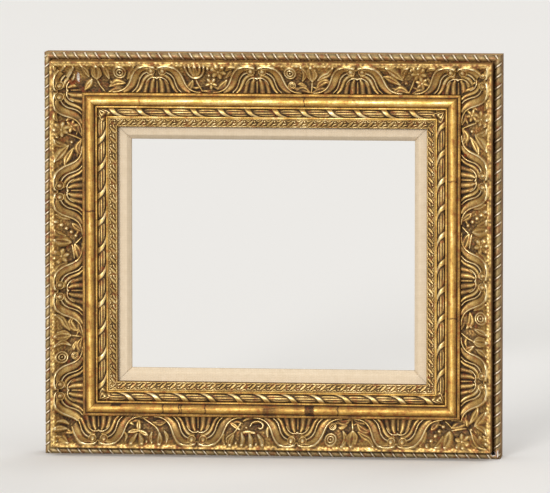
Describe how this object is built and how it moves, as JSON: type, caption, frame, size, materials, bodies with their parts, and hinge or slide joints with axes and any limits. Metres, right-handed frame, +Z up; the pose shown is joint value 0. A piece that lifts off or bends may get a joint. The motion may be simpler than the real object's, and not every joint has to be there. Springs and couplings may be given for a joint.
{
  "type": "gilded picture frame",
  "caption": "Rectangular gilded picture frame with a foliage cove, rope and ribbon mouldings and a linen liner, with turn buttons and ring hangers behind.",
  "frame": {"origin": "centre of the flat lower edge that the frame stands on", "axes": "+X along the lower edge to the viewer's right, +Y from the front towards the wall, +Z up"},
  "size_m": [0.4192, 0.052, 0.3692],
  "materials": {
    "gilded_moulding": "gold leaf on bole and gesso over wood, burnished on the torus and toned in the hollows",
    "gilded_ornament": "pressed composition ornament, gilded and toned brown in the hollows",
    "bare_wood": "aged bare pine",
    "linen": "plain-weave cream linen",
    "steel": "dull plated steel"
  },
  "bodies": {
    "frame": {"top_rail": "gilded_moulding", "bottom_rail": "gilded_moulding", "left_stile": "gilded_moulding", "right_stile": "gilded_moulding", "rope_top": "gilded_ornament", "foliage_top": "gilded_ornament", "ribbon_top": "gilded_ornament", "leaf_band_top": "gilded_ornament", "liner_top": "bare_wood", "linen_top": "linen", "rope_right": "gilded_ornament", "foliage_right": "gilded_ornament", "ribbon_right": "gilded_ornament", "leaf_band_right": "gilded_ornament", "liner_right": "bare_wood", "linen_right": "linen", "rope_bottom": "gilded_ornament", "foliage_bottom": "gilded_ornament", "ribbon_bottom": "gilded_ornament", "leaf_band_bottom": "gilded_ornament", "liner_bottom": "bare_wood", "linen_bottom": "linen", "rope_left": "gilded_ornament", "foliage_left": "gilded_ornament", "ribbon_left": "gilded_ornament", "leaf_band_left": "gilded_ornament", "liner_left": "bare_wood", "linen_left": "linen", "ribbon_corner_leaves": "gilded_ornament", "mitre_keys": "bare_wood", "liner_nails": "steel", "liner_brads": "steel", "turn_button_screws": "steel", "hanger_screws": "steel", "strap_hanger_left": "steel", "strap_hanger_right": "steel"},
    "ring_left": {"hanging_ring_left": "steel"},
    "button_left_upper": {"turn_button_left_upper": "steel"},
    "button_left_lower": {"turn_button_left_lower": "steel"},
    "ring_right": {"hanging_ring_right": "steel"},
    "button_right_upper": {"turn_button_right_upper": "steel"},
    "button_right_lower": {"turn_button_right_lower": "steel"}
  },
  "joints": [
    {"name": "ring_swing_left", "type": "hinge", "parent": "frame", "child": "ring_left", "pos_m": [-0.1676, 0.0145, 0.2346], "axis": [0, 0, 1], "range_deg": [0, 165]},
    {"name": "button_turn_left_upper", "type": "hinge", "parent": "frame", "child": "button_left_upper", "pos_m": [-0.1532, 0.0129, 0.2766], "axis": [0, -1, 0], "range_deg": [0, 180]},
    {"name": "button_turn_left_lower", "type": "hinge", "parent": "frame", "child": "button_left_lower", "pos_m": [-0.1532, 0.0129, 0.0926], "axis": [0, -1, 0], "range_deg": [0, 180]},
    {"name": "ring_swing_right", "type": "hinge", "parent": "frame", "child": "ring_right", "pos_m": [0.1676, 0.0145, 0.2346], "axis": [0, 0, -1], "range_deg": [0, 165]},
    {"name": "button_turn_right_upper", "type": "hinge", "parent": "frame", "child": "button_right_upper", "pos_m": [0.1532, 0.0129, 0.2766], "axis": [0, 1, 0], "range_deg": [0, 180]},
    {"name": "button_turn_right_lower", "type": "hinge", "parent": "frame", "child": "button_right_lower", "pos_m": [0.1532, 0.0129, 0.0926], "axis": [0, 1, 0], "range_deg": [0, 180]}
  ]
}
